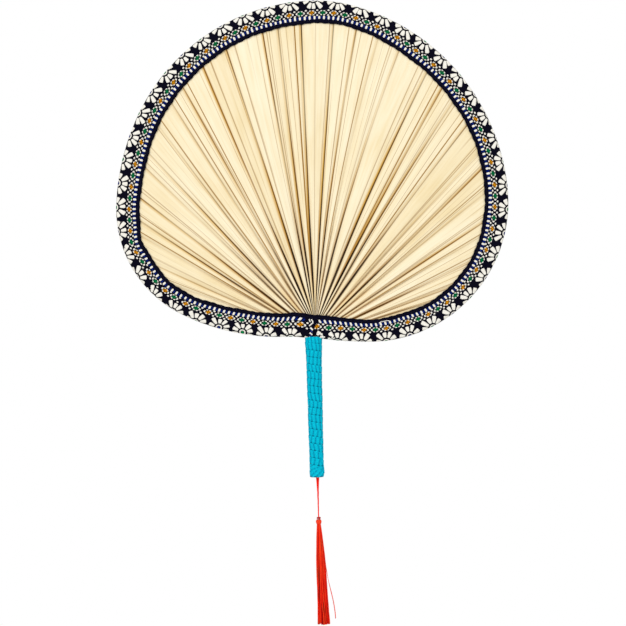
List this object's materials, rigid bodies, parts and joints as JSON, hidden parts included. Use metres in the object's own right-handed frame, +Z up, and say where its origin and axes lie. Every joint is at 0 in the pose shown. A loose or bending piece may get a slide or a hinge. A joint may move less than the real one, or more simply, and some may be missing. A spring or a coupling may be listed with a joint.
{
  "type": "palm leaf fan",
  "caption": "Hand fan of one pleated palm leaf with a ribbon-bound rim, a tape-wound straight handle and a red tassel hanging on a short cord.",
  "frame": {"origin": "middle of the grip, on the axis of the handle", "axes": "+Z up the handle to the top of the blade, front faces -Y, +X to the right seen from the front"},
  "size_m": [0.3608, 0.0134, 0.5737],
  "materials": {
    "leaf": "dry pleated palm leaf, straw cream, satin",
    "stalk": "dry leaf stalk, scraped smooth",
    "cane": "split bamboo, raw",
    "ribbon": "woven ribbon, navy-black with cream, gold, green and blue figures",
    "tape": "flat woven tape, cyan, slight sheen",
    "cord": "thin silky cord, bright red",
    "knot": "wound thread, dark red",
    "strands": "loose silky threads, bright red"
  },
  "bodies": {
    "fan": {"leaf_blade": "leaf", "leaf_stalk": "stalk", "rim_cane_front": "cane", "rim_cane_back": "cane", "rim_ribbon": "ribbon", "handle_tape": "tape", "cord_root_knot": "cord"},
    "cord": {"tassel_cord": "cord", "tassel_knot": "knot"},
    "tassel": {"tassel_strands": "strands", "tassel_neck_thread": "cord"}
  },
  "joints": [
    {"name": "cord_swing", "type": "hinge", "parent": "fan", "child": "cord", "pos_m": [0.0006, 0, -0.0642], "axis": [0, 1, 0], "range_deg": [-80, 80]},
    {"name": "tassel_swing", "type": "hinge", "parent": "cord", "child": "tassel", "pos_m": [0.0006, 0, -0.104], "axis": [1, 0, 0], "range_deg": [-80, 80]}
  ]
}
